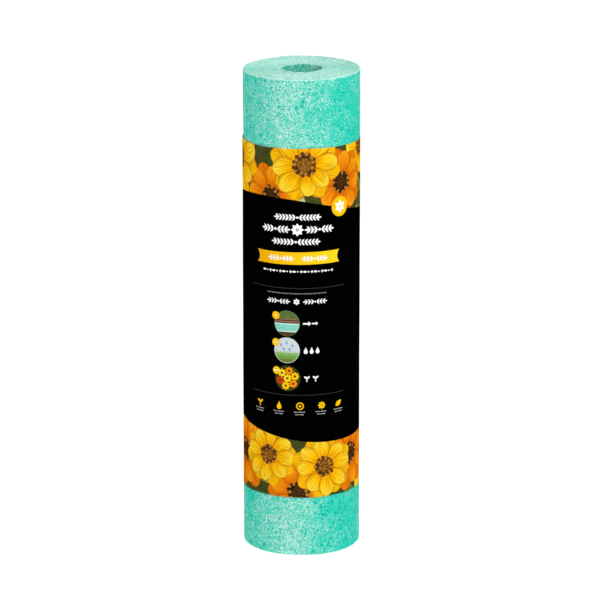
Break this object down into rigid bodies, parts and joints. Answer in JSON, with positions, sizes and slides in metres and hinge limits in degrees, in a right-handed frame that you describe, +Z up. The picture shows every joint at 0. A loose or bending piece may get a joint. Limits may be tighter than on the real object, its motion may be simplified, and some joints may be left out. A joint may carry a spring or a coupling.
{
  "type": "roll of wildflower seed mat",
  "caption": "Upright coreless roll of fibre seed mat with an open bore and spiral turns on its ends, held by a printed wrap band with a lapped seam.",
  "frame": {"origin": "middle of the roll's lower end, on the surface it stands on", "axes": "+Z up along the roll's axis, -Y to the front of the printed band, +Y to the band's lapped seam"},
  "size_m": [0.147, 0.1474, 0.6096],
  "materials": {
    "mat": "dry matted wood fibre, teal green with paler strands",
    "band": "satin coated paper, printed"
  },
  "bodies": {
    "root": {"seed_mat_roll": "mat", "printed_wrap_band": "band"}
  },
  "joints": []
}
